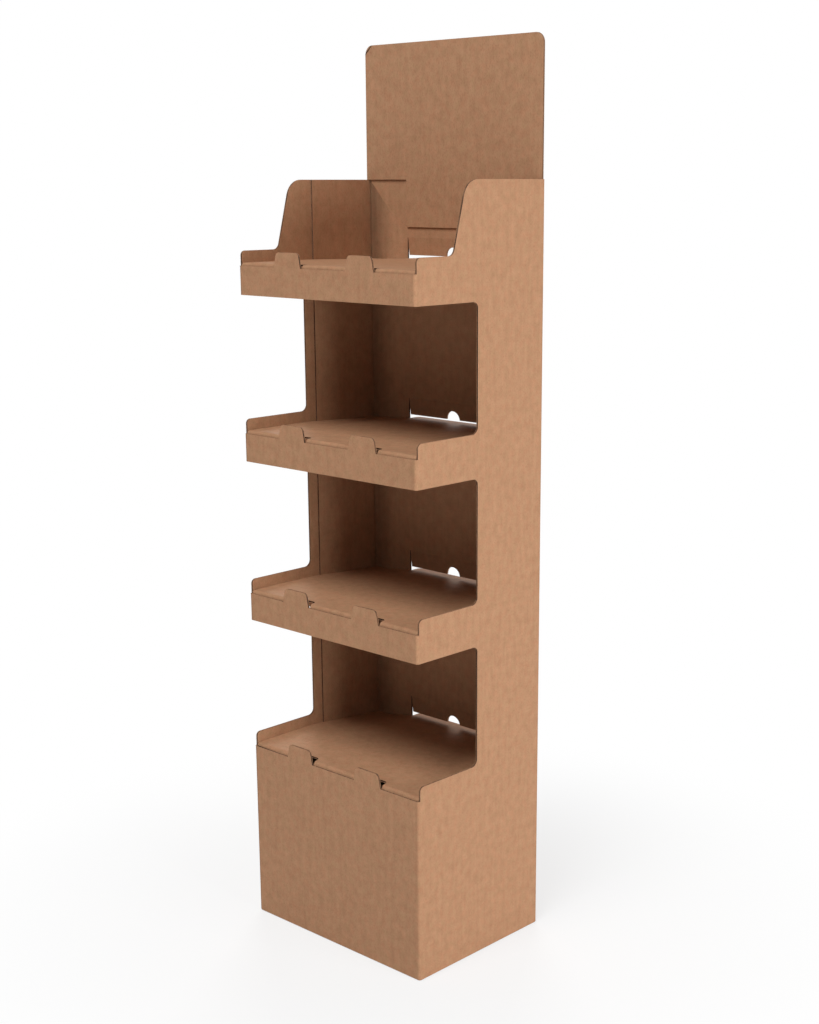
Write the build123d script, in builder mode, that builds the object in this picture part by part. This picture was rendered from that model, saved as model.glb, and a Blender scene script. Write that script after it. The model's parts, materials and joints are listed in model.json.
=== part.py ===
"""Floor-standing display stand of single-wall corrugated board.

The body is one folded and glued sheet. Four shelves and a header card fit it.
Frame: +Z up, the open front faces -Y, the origin is on the floor below the middle
of the stand, with the shelf tongues counted in its depth.
"""

from build123d import *
import os

os.makedirs("parts", exist_ok=True)

# ---- Driving dimensions, in millimetres ----
board = 3.0  # board thickness
width = 400.0  # body, over its outer faces
depth = 300.0
body_height = 1280.0

shelf_count = 4
base_shelf_level = 319.0  # top face of the lowest shelf, over the plinth
shelf_pitch = 276.5  # from one shelf to the next

lip_height = 52.0  # front lip, from its lower edge to the shelf's top face
lip_drop = 5.0  # the lip's upper edge lies this far below the shelf's top face
arm_rise = 19.0  # side arms stand this far above the shelf
arm_setback = 4.0  # arms' front edges, behind the front face
arm_front_radius = 8.0
column_setback = 140.0  # front edge of the rear side columns, behind the front face
column_foot_radius = 12.0
window_top_radius = 10.0

top_slope_foot = 84.0  # where the top side panels start to rise, behind the front face
top_slope_head = 114.0  # where they reach full height
top_round_radius = 32.0

tab_width = 62.0  # upright tabs on each lip, at their root
tab_head_width = 52.0
tab_rise = 19.0  # above the shelf's top face
tab_offset = 82.0  # from the middle of the stand to each tab's middle
tab_radius = 8.0

fold_outer = 5.0  # outer radius of the body's folds
fold_inner = fold_outer - board
bottom_fold = 2.5  # outer radius where the bottom flaps turn under
glue_flap_width = 137.0  # lies flat inside the left wall
bottom_flap_gap = 2.0  # between the two outer bottom flaps
side_flap_length = 140.0

tongue_width = 200.0  # rear tongue of each shelf
tongue_reach = 16.0  # beyond the back wall's outer face
tongue_radius = 6.0
slot_clearance = 3.0  # at each end of the tongue
slot_room_below = 0.5
slot_room_above = 5.0  # up to the lock flap's edge
lock_flap_hinge = 35.0  # crease, above the shelf's top face
lock_flap_kerf = 1.0  # at each end of the lock flap
lock_flap_tilt = 6.0  # degrees, pushed outwards
thumb_radius = 15.0

shelf_fold_outer = 6.0
shelf_fold_inner = shelf_fold_outer - board
shelf_flange = 46.0  # front flange behind the lip, from the shelf's top face
shelf_flange_trim = 4.0  # the flange's ends stop this far short, clear of the body's folds
shelf_clearance = 0.5  # to the walls at each side and the back
shelf_corner_radius = 4.0  # rear corners, clear of the body's folds
tab_hole_clearance = 1.0

header_width = 396.0
header_rise = 222.0  # above the body
header_radius = 16.0
header_tongue_width = 206.0
header_tongue_length = 79.0
header_tongue_radius = 4.0

# ---- Places worked out from them ----
front = -(depth + tongue_reach) / 2
back = front + depth
front_inner = front + board
back_inner = back - board
side_inner = width / 2 - board
column = front + column_setback
middle_y = front + depth / 2
glue_flap_front = back_inner - glue_flap_width
levels = [base_shelf_level + shelf_pitch * i for i in range(shelf_count)]
slot_width = tongue_width + 2 * slot_clearance
past = 1.0  # cuts run this far past the faces that they open


def lip_side(level):
    """Side view of the cut's lower edge: over the lip, then up the arm's front edge."""
    return [
        (front - past, level - lip_drop),
        (front + arm_setback, level - lip_drop),
        (front + arm_setback, level + arm_rise),
    ]


def corner(sketch, along, up):
    """The sketch's vertex nearest to a point of its own plane."""
    return sketch.vertices().sort_by_distance(Vector(along, up, 0))[0]


# ---- Body: one sheet, folded round three corners and glued at the fourth ----
with BuildPart() as body:
    with BuildSketch(Plane.XY) as sheet:
        with Locations((0, middle_y)):
            Rectangle(width, depth)
        folded = sheet.vertices().group_by(Axis.Y)[0]
        folded += [sheet.vertices().group_by(Axis.Y)[-1].sort_by(Axis.X)[-1]]
        fillet(folded, fold_outer)
        with Locations((0, middle_y)):
            RectangleRounded(width - 2 * board, depth - 2 * board, fold_inner, mode=Mode.SUBTRACT)
        # The glue flap runs forward from the back wall, inside the left wall.
        with Locations((-side_inner, back_inner)):
            Rectangle(board, glue_flap_width, align=(Align.MIN, Align.MAX))
        # The back wall turns into the flap here, and the left wall ends square beside it.
        with BuildLine():
            Polyline(
                (-side_inner, back - fold_outer),
                (-side_inner, back),
                (-side_inner + fold_outer, back),
            )
            RadiusArc((-side_inner + fold_outer, back), (-side_inner, back - fold_outer), -fold_outer)
        make_face(mode=Mode.SUBTRACT)
    extrude(amount=body_height)

    # Bottom flaps: the side pair folds in first, the front and back pair closes over it.
    outer_flap = (depth - bottom_flap_gap) / 2
    with BuildSketch(Plane.XY):
        with Locations((0, front_inner)):
            Rectangle(2 * side_inner, outer_flap - board, align=(Align.CENTER, Align.MIN))
        with Locations((0, back_inner)):
            Rectangle(2 * side_inner, outer_flap - board, align=(Align.CENTER, Align.MAX))
    extrude(amount=board)
    with BuildSketch(Plane.XY.offset(board)):
        with Locations((-side_inner, middle_y)):
            Rectangle(side_flap_length, depth - 2 * board, align=(Align.MIN, Align.CENTER))
        with Locations((side_inner, middle_y)):
            Rectangle(side_flap_length, depth - 2 * board, align=(Align.MAX, Align.CENTER))
    extrude(amount=board)
    turned = body.edges().filter_by(Axis.X).group_by(Axis.Z)[0]
    fillet([turned.sort_by(Axis.Y)[0], turned.sort_by(Axis.Y)[-1]], bottom_fold)

    # Open bays between the lips, through the front and the front part of both sides.
    for level, above in zip(levels, levels[1:]):
        ceiling = above - lip_height
        with BuildSketch(Plane.YZ) as bay:
            with BuildLine():
                Polyline(
                    *lip_side(level),
                    (column, level + arm_rise),
                    (column, ceiling),
                    (front - past, ceiling),
                    close=True,
                )
            make_face()
            fillet(corner(bay, front + arm_setback, level + arm_rise), arm_front_radius)
            fillet(corner(bay, column, level + arm_rise), column_foot_radius)
            fillet(corner(bay, column, ceiling), window_top_radius)
        extrude(amount=width, both=True, mode=Mode.SUBTRACT)

    # Above the top shelf the sides rise along a slope to their full height.
    top_flat = front + top_slope_head + 2 * top_round_radius
    with BuildSketch(Plane.YZ) as crown:
        with BuildLine():
            Polyline(
                *lip_side(levels[-1]),
                (front + top_slope_foot, levels[-1] + arm_rise),
                (front + top_slope_head, body_height),
                (top_flat, body_height),
                (top_flat, body_height + past),
                (front - past, body_height + past),
                close=True,
            )
        make_face()
        fillet(corner(crown, front + arm_setback, levels[-1] + arm_rise), arm_front_radius)
        fillet(corner(crown, front + top_slope_foot, levels[-1] + arm_rise), column_foot_radius)
        fillet(corner(crown, front + top_slope_head, body_height), top_round_radius)
    extrude(amount=width, both=True, mode=Mode.SUBTRACT)

    # Two tabs stand up from each lip, in its plane.
    lip_plane = Plane(origin=(0, front_inner, 0), x_dir=(1, 0, 0), z_dir=(0, -1, 0))
    for level in levels:
        root = level - lip_drop - fold_outer
        head = level + tab_rise
        for middle in (-tab_offset, tab_offset):
            with BuildSketch(lip_plane) as tab:
                with BuildLine():
                    Polyline(
                        (middle - tab_width / 2, root),
                        (middle + tab_width / 2, root),
                        (middle + tab_width / 2, level - lip_drop),
                        (middle + tab_head_width / 2, head),
                        (middle - tab_head_width / 2, head),
                        (middle - tab_width / 2, level - lip_drop),
                        close=True,
                    )
                make_face()
                fillet(tab.vertices().group_by(Axis.Y)[-1], tab_radius)
            extrude(amount=board)

    # Slots for the shelf tongues, each closed from above by a hinged lock flap.
    flap_length = lock_flap_hinge - slot_room_above
    for level in levels:
        slot_bottom = level - board - slot_room_below
        with BuildSketch(Plane.XZ.offset(-back_inner)):
            with Locations((0, slot_bottom)):
                opening_height = lock_flap_hinge + board + slot_room_below
                Rectangle(slot_width, opening_height, align=(Align.CENTER, Align.MIN))
        extrude(amount=-board - past, mode=Mode.SUBTRACT)
        hinge = Plane(origin=(0, back_inner, level + lock_flap_hinge), x_dir=(1, 0, 0), z_dir=(0, 1, 0))
        with BuildSketch(hinge.rotated((lock_flap_tilt, 0, 0))):
            Rectangle(slot_width - 2 * lock_flap_kerf, flap_length, align=(Align.CENTER, Align.MIN))
            with Locations((0, flap_length)):
                Circle(thumb_radius, mode=Mode.SUBTRACT)
        extrude(amount=board)

body.part.label = "body_sleeve"
export_step(body.part, "parts/body_sleeve.step")


# ---- Shelves: a flat panel with a front flange and a rear tongue ----
shelf_half = side_inner - shelf_clearance
shelf_back = back_inner - shelf_clearance
shelf_names = ["shelf_base", "shelf_lower", "shelf_upper", "shelf_top"]
for name, level in zip(shelf_names, levels):
    with BuildPart() as shelf:
        with BuildSketch(Plane.YZ) as section:
            with BuildLine():
                Polyline(
                    (front_inner, level - shelf_flange),
                    (front_inner, level),
                    (shelf_back, level),
                    (shelf_back, level - board),
                    (front_inner + board, level - board),
                    (front_inner + board, level - shelf_flange),
                    close=True,
                )
            make_face()
            fillet(corner(section, front_inner, level), shelf_fold_outer)
            fillet(corner(section, front_inner + board, level - board), shelf_fold_inner)
        extrude(amount=shelf_half, both=True)

        # The front flange stops short of the body's folded corners.
        with BuildSketch(Plane.XZ.offset(-front_inner)):
            for side in (-1, 1):
                with Locations((side * shelf_half, level - lip_drop)):
                    Rectangle(2 * shelf_flange_trim, 2 * shelf_flange, align=(Align.CENTER, Align.MAX))
        extrude(amount=-board, mode=Mode.SUBTRACT)

        # Room for the glue flap inside the left wall.
        with BuildSketch(Plane.XY.offset(level)):
            with Locations((-side_inner, glue_flap_front - shelf_clearance)):
                Rectangle(board + shelf_clearance, depth, align=(Align.MIN, Align.MIN))
        extrude(amount=-board, mode=Mode.SUBTRACT)
        fillet(shelf.edges().filter_by(Axis.Z).group_by(Axis.Y)[-1], shelf_corner_radius)

        # Holes in the fold, behind the tabs and as deep as the tabs are high.
        for middle in (-tab_offset, tab_offset):
            with BuildSketch(Plane.XY.offset(level)) as hole:
                half_foot = tab_width / 2 + tab_hole_clearance
                half_head = tab_head_width / 2
                hole_back = front_inner + tab_rise
                with BuildLine():
                    Polyline(
                        (middle - half_foot, front_inner - past),
                        (middle + half_foot, front_inner - past),
                        (middle + half_foot, front_inner),
                        (middle + half_head, hole_back),
                        (middle - half_head, hole_back),
                        (middle - half_foot, front_inner),
                        close=True,
                    )
                make_face()
                fillet(hole.vertices().group_by(Axis.Y)[-1], tab_radius)
            extrude(amount=-shelf_fold_outer, mode=Mode.SUBTRACT)

        # The tongue passes through the slot in the back wall.
        with BuildSketch(Plane.XY.offset(level)) as tongue:
            with Locations((0, back + tongue_reach)):
                Rectangle(tongue_width, tongue_reach + 2 * board, align=(Align.CENTER, Align.MAX))
            fillet(tongue.vertices().group_by(Axis.Y)[-1], tongue_radius)
        extrude(amount=-board)

    shelf.part.label = name
    export_step(shelf.part, f"parts/{name}.step")


# ---- Header card: its shoulders stand on the body, its tongue hangs inside the back wall ----
header_top = body_height + header_rise
header_foot = body_height - header_tongue_length
with BuildPart() as header:
    with BuildSketch(Plane.XZ.offset(-back_inner)) as card:
        with Locations((0, body_height)):
            Rectangle(header_width, header_rise, align=(Align.CENTER, Align.MIN))
        fillet(card.vertices().group_by(Axis.Y)[-1], header_radius)
        with Locations((0, header_foot)):
            tongue_overlap = header_rise / 2
            Rectangle(
                header_tongue_width,
                header_tongue_length + tongue_overlap,
                align=(Align.CENTER, Align.MIN),
            )
        fillet(card.vertices().group_by(Axis.Y)[0], header_tongue_radius)
    extrude(amount=board)
header.part.label = "header_card"
export_step(header.part, "parts/header_card.step")
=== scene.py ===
"""Looks of the corrugated display stand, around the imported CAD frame. Lengths are in metres."""

import json
import math

import bmesh
import bpy
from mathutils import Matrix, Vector


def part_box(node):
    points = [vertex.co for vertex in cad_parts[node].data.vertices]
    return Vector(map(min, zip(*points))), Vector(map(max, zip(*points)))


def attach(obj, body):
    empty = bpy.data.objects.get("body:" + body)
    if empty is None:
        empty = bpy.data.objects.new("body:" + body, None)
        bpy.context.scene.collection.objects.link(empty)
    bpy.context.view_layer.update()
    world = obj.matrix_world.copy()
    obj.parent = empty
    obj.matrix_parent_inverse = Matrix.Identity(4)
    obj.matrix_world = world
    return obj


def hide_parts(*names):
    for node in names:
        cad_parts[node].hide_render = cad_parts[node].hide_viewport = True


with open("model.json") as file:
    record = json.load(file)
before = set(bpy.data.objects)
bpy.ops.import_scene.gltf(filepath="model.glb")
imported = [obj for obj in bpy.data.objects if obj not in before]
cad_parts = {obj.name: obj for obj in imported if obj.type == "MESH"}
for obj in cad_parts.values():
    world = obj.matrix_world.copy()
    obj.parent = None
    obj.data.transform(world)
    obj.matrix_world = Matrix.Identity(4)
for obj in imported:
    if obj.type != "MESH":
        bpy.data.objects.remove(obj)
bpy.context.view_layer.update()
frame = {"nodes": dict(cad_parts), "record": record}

# ---- Sizes and places, from the frame ----
body_low, body_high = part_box("body_sleeve")
header_low, header_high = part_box("header_card")
board = header_high[1] - header_low[1]
half_width = body_high[0]
front = body_low[1]
back = header_high[1] + board
front_inner = front + board
side_inner = half_width - board
slot_half = 0.103  # half of a shelf slot
tab_spacing = 0.164  # between the middles of a lip's two tabs

liner = 0.00045  # what shows of each liner round a cut edge
groove = 0.0008  # the fluted middle lies this far below the liners' edges
ridge_spacing = 0.013069  # between the ridges drawn by the materials, twice the pitch of real B flute
skin = 0.0001  # the middle of a cut edge lies further than this inside the board's faces
across = 0.1  # a cut edge's normal has less than this along the board's thickness
flaps_top = 2 * board + 0.001  # the bottom flaps' own edges, below this, stay plain
sharp_angle = 28  # degrees, between faces that meet in a hard edge

# ---- Bends of the shelves ----
slices_across = 26
slices_deep = 18
sag_start_y = front + 0.13  # the shelves droop behind this line
sag_margin = 0.02  # the droop starts this far inside each end of the slot

# How far each shelf's rear left corner droops; the rear right one droops a share of it.
sags = {"shelf_base": 0.013, "shelf_lower": 0.008, "shelf_upper": 0.006, "shelf_top": 0.003}
right_sag_share = 0.4
fold_bulge = 0.0012  # the folded front edge rises between the tabs
fold_bulge_depth = 0.035
fold_bulge_end = 0.03  # it fades out this far from each end

# ---- Colours, linear ----
kraft = (0.415, 0.222, 0.122)
kraft_pale = (0.443, 0.242, 0.135)
kraft_dark = (0.383, 0.201, 0.109)
# the cut edges' colour: partly the cut paper's own darker tone, partly painted shade of the flutes'
# hollows
edge_tone_and_shade = (0.150, 0.078, 0.042)
# painted shade: the near-black of the flutes' hollows, which lie in shadow
flute_hollow_shade = (0.035, 0.018, 0.010)
liner_shift = (0.37, 0.61, 0.23)  # moves the liner's pattern from one piece to the next

# ---- Material slots of each piece ----
face_slot, rim_slot, flute_slot = range(3)


# ---- Materials ----
def new_material(name):
    """A node material, with its tree, its shader and its object coordinates."""
    material = bpy.data.materials.new(name)
    material.use_nodes = True
    tree = material.node_tree
    shader = tree.nodes["Principled BSDF"]
    coordinates = tree.nodes.new("ShaderNodeTexCoord")
    return material, tree, shader, coordinates.outputs["Object"]


def noise(tree, place, scale, stretch=(1, 1, 1), detail=3.0, shift=(0, 0, 0)):
    """Noise with `scale` cells to a metre, stretched along each axis."""
    mapping = tree.nodes.new("ShaderNodeMapping")
    mapping.inputs["Scale"].default_value = stretch
    mapping.inputs["Location"].default_value = shift
    tree.links.new(place, mapping.inputs["Vector"])
    texture = tree.nodes.new("ShaderNodeTexNoise")
    texture.inputs["Scale"].default_value = scale
    texture.inputs["Detail"].default_value = detail
    tree.links.new(mapping.outputs["Vector"], texture.inputs["Vector"])
    return texture.outputs["Fac"]


def ramp(tree, value, stops):
    """A colour ramp over (place, linear colour) stops."""
    node = tree.nodes.new("ShaderNodeValToRGB")
    elements = node.color_ramp.elements
    elements[0].position, elements[-1].position = stops[0][0], stops[-1][0]
    for place, colour in stops[1:-1]:
        elements.new(place)
    for element, (place, colour) in zip(elements, stops):
        element.color = (*colour, 1)
    tree.links.new(value, node.inputs["Fac"])
    return node.outputs["Color"]


def mix(tree, kind, share, first, second):
    """Two colours mixed, with a share from 0 to 1 of the second."""
    node = tree.nodes.new("ShaderNodeMix")
    node.data_type = "RGBA"
    node.blend_type = kind
    node.inputs["Factor"].default_value = share
    tree.links.new(first, node.inputs["A"])
    tree.links.new(second, node.inputs["B"])
    return node.outputs["Result"]


def ridges(tree, place):
    """Upright ridges, evenly spaced along both walls' directions."""
    flat = tree.nodes.new("ShaderNodeMapping")
    flat.inputs["Scale"].default_value = (1, 1, 0)
    tree.links.new(place, flat.inputs["Vector"])
    wave = tree.nodes.new("ShaderNodeTexWave")
    wave.bands_direction = "DIAGONAL"
    # The texture's phase is ten times the sum of its scaled coordinates.
    wave.inputs["Scale"].default_value = 2 * math.pi / (10 * ridge_spacing)
    tree.links.new(flat.outputs["Vector"], wave.inputs["Vector"])
    return wave.outputs["Fac"]


def bump(tree, height, strength, distance):
    """A bump node over a height."""
    node = tree.nodes.new("ShaderNodeBump")
    node.inputs["Strength"].default_value = strength
    node.inputs["Distance"].default_value = distance
    tree.links.new(height, node.inputs["Height"])
    return node


def liner_material(name, shift):
    """Uncoated kraft liner: soft blotches, streaks along the flutes, fine fibres."""
    material, tree, shader, place = new_material(name)
    blotch = noise(tree, place, 70, detail=6.0, shift=shift)
    colour = ramp(tree, blotch, [(0.30, kraft_dark), (0.5, kraft), (0.72, kraft_pale)])
    tint = noise(tree, place, 90, detail=3.0, shift=(3.1, 1.7, 0.4))
    tinted = ramp(tree, tint, [(0.35, (1.03, 0.98, 0.97)), (0.5, (1, 1, 1)), (0.68, (0.97, 1.01, 0.98))])
    colour = mix(tree, "MULTIPLY", 1.0, colour, tinted)
    streak = noise(tree, place, 150, stretch=(1, 1, 0.12), detail=3.0, shift=shift)
    streaked = ramp(tree, streak, [(0.3, (0.96, 0.955, 0.95)), (0.6, (1.03, 1.03, 1.03))])
    colour = mix(tree, "MULTIPLY", 1.0, colour, streaked)
    fibre = noise(tree, place, 900, stretch=(1, 1, 0.35), detail=2.0)
    fibres = ramp(tree, fibre, [(0.36, (0.86, 0.84, 0.82)), (0.46, (1, 1, 1)), (0.7, (1.05, 1.05, 1.05))])
    colour = mix(tree, "MULTIPLY", 0.8, colour, fibres)
    tree.links.new(colour, shader.inputs["Base Color"])
    shader.inputs["Roughness"].default_value = 0.82
    shader.inputs["Specular IOR Level"].default_value = 0.25

    # Faint ridges show through the liner, with the paper's own grain.
    flute_bump = bump(tree, ridges(tree, place), 0.12, 0.0002)
    grain_bump = bump(tree, fibre, 0.25, 0.00015)
    tree.links.new(flute_bump.outputs["Normal"], grain_bump.inputs["Normal"])
    tree.links.new(grain_bump.outputs["Normal"], shader.inputs["Normal"])
    return material


def edge_material():
    """The liners' cut rims, rougher than the face and darker, partly by the cut paper's own tone and
    partly by painted shade of the flutes beside them.
    """
    material, tree, shader, place = new_material("cut_rim")
    torn = noise(tree, place, 700, detail=3.0)
    # The darker stop is partly the cut paper's own tone and partly painted shade.
    colour = ramp(tree, torn, [(0.3, edge_tone_and_shade), (0.7, kraft_dark)])
    tree.links.new(colour, shader.inputs["Base Color"])
    shader.inputs["Roughness"].default_value = 0.95
    return material


def flute_material():
    """The open flutes between the liners: the paper's waves, with painted shade in the gaps between them
    where the flutes' hollows lie in shadow.
    """
    material, tree, shader, place = new_material("open_flutes")
    # The dark stop is painted shade of the flutes' hollows; the light stop is the edges' own tone with
    # some painted shade.
    colour = ramp(tree, ridges(tree, place), [(0.25, flute_hollow_shade), (0.75, edge_tone_and_shade)])
    tree.links.new(colour, shader.inputs["Base Color"])
    shader.inputs["Roughness"].default_value = 1.0
    return material


# ---- Pieces ----
def cut_edges(faces, node):
    """The faces where the board's middle shows, from their place and direction."""
    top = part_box(node)[1][2]
    found = []
    for face in faces:
        spot = face.calc_center_median()
        normal = face.normal
        if normal.length < 0.5:  # a sliver with no direction of its own
            continue
        if node == "header_card":
            is_edge = abs(normal.y) < 0.5
        elif node == "body_sleeve":
            near_side = side_inner < abs(spot.x) < half_width - skin
            in_flap = -side_inner < spot.x < -side_inner + board - skin
            near_front = front + skin < spot.y < front_inner - skin
            near_back = back - board + skin < spot.y < back - skin
            on_side = (near_side or in_flap) and abs(normal.x) < across
            on_end = (near_front or near_back) and abs(normal.y) < across
            is_edge = (on_side or on_end) and spot.z > flaps_top
        else:
            in_panel = top - board < spot.z < top - skin and spot.y > front + 3 * board
            in_flange = front_inner + skin < spot.y < front_inner + board - skin
            is_edge = (in_panel and abs(normal.z) < across) or (in_flange and abs(normal.y) < across)
        if is_edge:
            found.append(face)
    return found


def open_flutes(mesh, node):
    """Sinks the middle of every cut edge between its two liners."""
    edges = cut_edges(mesh.faces, node)
    for face in edges:
        face.material_index = rim_slot
    # The body's left wall lies against the glue flap, so its edge is opened by itself.
    split = -side_inner if node == "body_sleeve" else -half_width
    left_wall = [face for face in edges if face.calc_center_median().x < split]
    others = [face for face in edges if face.calc_center_median().x >= split]
    for group in (left_wall, others):
        if not group:
            continue
        bmesh.ops.inset_region(mesh, faces=group, thickness=liner, depth=-groove,
                               use_boundary=True, use_even_offset=True)
        for face in group:
            face.material_index = flute_slot


def smooth(value):
    """0 below 0, 1 above 1 and an even curve between."""
    value = min(max(value, 0.0), 1.0)
    return value * value * (3 - 2 * value)


def slice_along(mesh, axis, low, high, count):
    """Cuts the mesh's faces into even slices along an axis, so that they can bend."""
    normal = Vector([float(axis == other) for other in range(3)])
    for step in range(1, count):
        place = normal * (low + (high - low) * step / count)
        every = mesh.verts[:] + mesh.edges[:] + mesh.faces[:]
        bmesh.ops.bisect_plane(mesh, geom=every, plane_co=place, plane_no=normal, dist=1e-6)


def bend_shelf(mesh, node):
    """Lets the rear corners droop and the folded front edge rise a little."""
    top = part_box(node)[1][2]
    slice_along(mesh, 0, -side_inner, side_inner, slices_across)
    slice_along(mesh, 1, front_inner, back - board, slices_deep)
    for vertex in mesh.verts:
        x, y, z = vertex.co
        beside_slot = smooth((abs(x) - slot_half + sag_margin) / (side_inner - slot_half))
        behind = smooth((y - sag_start_y) / (back - sag_start_y))
        share = 1.0 if x < 0 else right_sag_share
        vertex.co.z -= sags[node] * share * beside_slot * behind
        into_panel = 1 - smooth((y - front_inner) / fold_bulge_depth)
        between_tabs = 0.5 + 0.5 * math.cos(2 * math.pi * x / tab_spacing)
        near_top = smooth((z - top + 3 * board) / (3 * board))
        inside_ends = smooth((side_inner - abs(x)) / fold_bulge_end)
        vertex.co.z += fold_bulge * into_panel * between_tabs * near_top * inside_ends


def detailed(node, materials):
    """A piece that stands for a CAD node, with open flutes and, on shelves, a soft sag."""
    source = frame["nodes"][node]
    mesh = bmesh.new()
    mesh.from_mesh(source.data)
    bmesh.ops.remove_doubles(mesh, verts=mesh.verts, dist=1e-6)
    bmesh.ops.dissolve_degenerate(mesh, dist=1e-5, edges=mesh.edges)
    mesh.normal_update()
    if node in sags:
        bend_shelf(mesh, node)
        mesh.normal_update()
    open_flutes(mesh, node)
    data = bpy.data.meshes.new(node + "_board")
    mesh.to_mesh(data)
    mesh.free()
    for material in materials:
        data.materials.append(material)
    data.shade_smooth()
    data.set_sharp_from_angle(angle=math.radians(sharp_angle))
    piece = bpy.data.objects.new(node + "_board", data)
    bpy.context.scene.collection.objects.link(piece)
    weighted = piece.modifiers.new("flat_faces", "WEIGHTED_NORMAL")
    weighted.keep_sharp = True
    weighted.weight = 100
    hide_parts(node)
    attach(piece, "root")


rim = edge_material()
flutes = flute_material()
slots = {row["node"]: row["material_slot"] for row in frame["record"]["subparts"]}
for count, (node, slot) in enumerate(sorted(slots.items())):
    face = liner_material("liner_" + node, [part * count for part in liner_shift])
    detailed(node, [face, rim, flutes])


# ---- Floor, light and camera ----
floor_radius = 30
floor_drop = 0.0005  # below the object, so that their faces don't coincide
shadow_near = 0.25  # from here outwards, the shadow fades
shadow_far = 1.0
glow_near = 0.7  # share of plain white in the camera's view of the floor near the object
ambient_strength = 0.22


def floor_material():
    """A pale floor that turns white away from the object and keeps a weak shadow near it."""
    material, tree, shader, place = new_material("pale_floor")
    shader.inputs["Base Color"].default_value = (0.8, 0.8, 0.8, 1)
    shader.inputs["Roughness"].default_value = 0.9
    glow = tree.nodes.new("ShaderNodeEmission")
    path = tree.nodes.new("ShaderNodeLightPath")
    distance = tree.nodes.new("ShaderNodeVectorMath")
    distance.operation = "LENGTH"
    tree.links.new(place, distance.inputs[0])
    fade = tree.nodes.new("ShaderNodeMapRange")
    fade.interpolation_type = "SMOOTHSTEP"
    fade.inputs["From Min"].default_value = shadow_near
    fade.inputs["From Max"].default_value = shadow_far
    fade.inputs["To Min"].default_value = glow_near
    fade.inputs["To Max"].default_value = 1.0
    tree.links.new(distance.outputs["Value"], fade.inputs["Value"])
    share = tree.nodes.new("ShaderNodeMath")
    share.operation = "MULTIPLY"
    tree.links.new(path.outputs["Is Camera Ray"], share.inputs[0])
    tree.links.new(fade.outputs["Result"], share.inputs[1])
    blend = tree.nodes.new("ShaderNodeMixShader")
    tree.links.new(share.outputs[0], blend.inputs[0])
    tree.links.new(shader.outputs[0], blend.inputs[1])
    tree.links.new(glow.outputs[0], blend.inputs[2])
    tree.links.new(blend.outputs[0], tree.nodes["Material Output"].inputs["Surface"])
    return material


floor_place = (0, 0, -floor_drop)
bpy.ops.mesh.primitive_circle_add(vertices=96, radius=floor_radius, fill_type="NGON", location=floor_place)
floor = bpy.context.object
floor.name = "floor"
floor.data.materials.append(floor_material())


def studio_world():
    """A dim even light from all round, which the camera sees as white."""
    world = bpy.data.worlds.new("studio")
    world.use_nodes = True
    sky = world.node_tree
    ambient = sky.nodes["Background"]
    ambient.inputs["Color"].default_value = (1, 1, 1, 1)
    ambient.inputs["Strength"].default_value = ambient_strength
    white = sky.nodes.new("ShaderNodeBackground")
    white.inputs["Color"].default_value = (1, 1, 1, 1)
    white.inputs["Strength"].default_value = 1.0
    sight = sky.nodes.new("ShaderNodeLightPath")
    choose = sky.nodes.new("ShaderNodeMixShader")
    sky.links.new(sight.outputs["Is Camera Ray"], choose.inputs[0])
    sky.links.new(ambient.outputs[0], choose.inputs[1])
    sky.links.new(white.outputs[0], choose.inputs[2])
    sky.links.new(choose.outputs[0], sky.nodes["World Output"].inputs["Surface"])
    return world


bpy.context.scene.world = studio_world()


def lamp(name, place, power, size):
    """A soft square lamp that faces the middle of the stand."""
    data = bpy.data.lights.new(name, "AREA")
    data.energy = power
    data.size = size
    light = bpy.data.objects.new(name, data)
    light.location = place
    aim = Vector((0, 0, body_high[2] / 2)) - Vector(place)
    light.rotation_euler = aim.to_track_quat("-Z", "Y").to_euler()
    bpy.context.scene.collection.objects.link(light)


lamp("key_right", (4.0, 0.2, 1.0), 104, 2.0)
lamp("key_above", (0.8, -3.4, 6.0), 300, 3.0)
lamp("fill_behind", (-3.2, 3.4, 2.4), 120, 2.4)

camera_data = bpy.data.cameras.new("camera")
camera_data.sensor_fit = "HORIZONTAL"
camera_data.sensor_width = 36
camera_data.lens = 70.42
camera_data.shift_x = -0.0508
camera_data.shift_y = 0.0866
camera = bpy.data.objects.new("camera", camera_data)
camera.location = (1.8655, -1.8832, 1.2748)
camera.rotation_euler = (math.radians(90 - 14.03), math.radians(0.10), math.radians(42.71))
bpy.context.scene.collection.objects.link(camera)
bpy.context.scene.camera = camera
bpy.context.scene.view_settings.view_transform = "Standard"
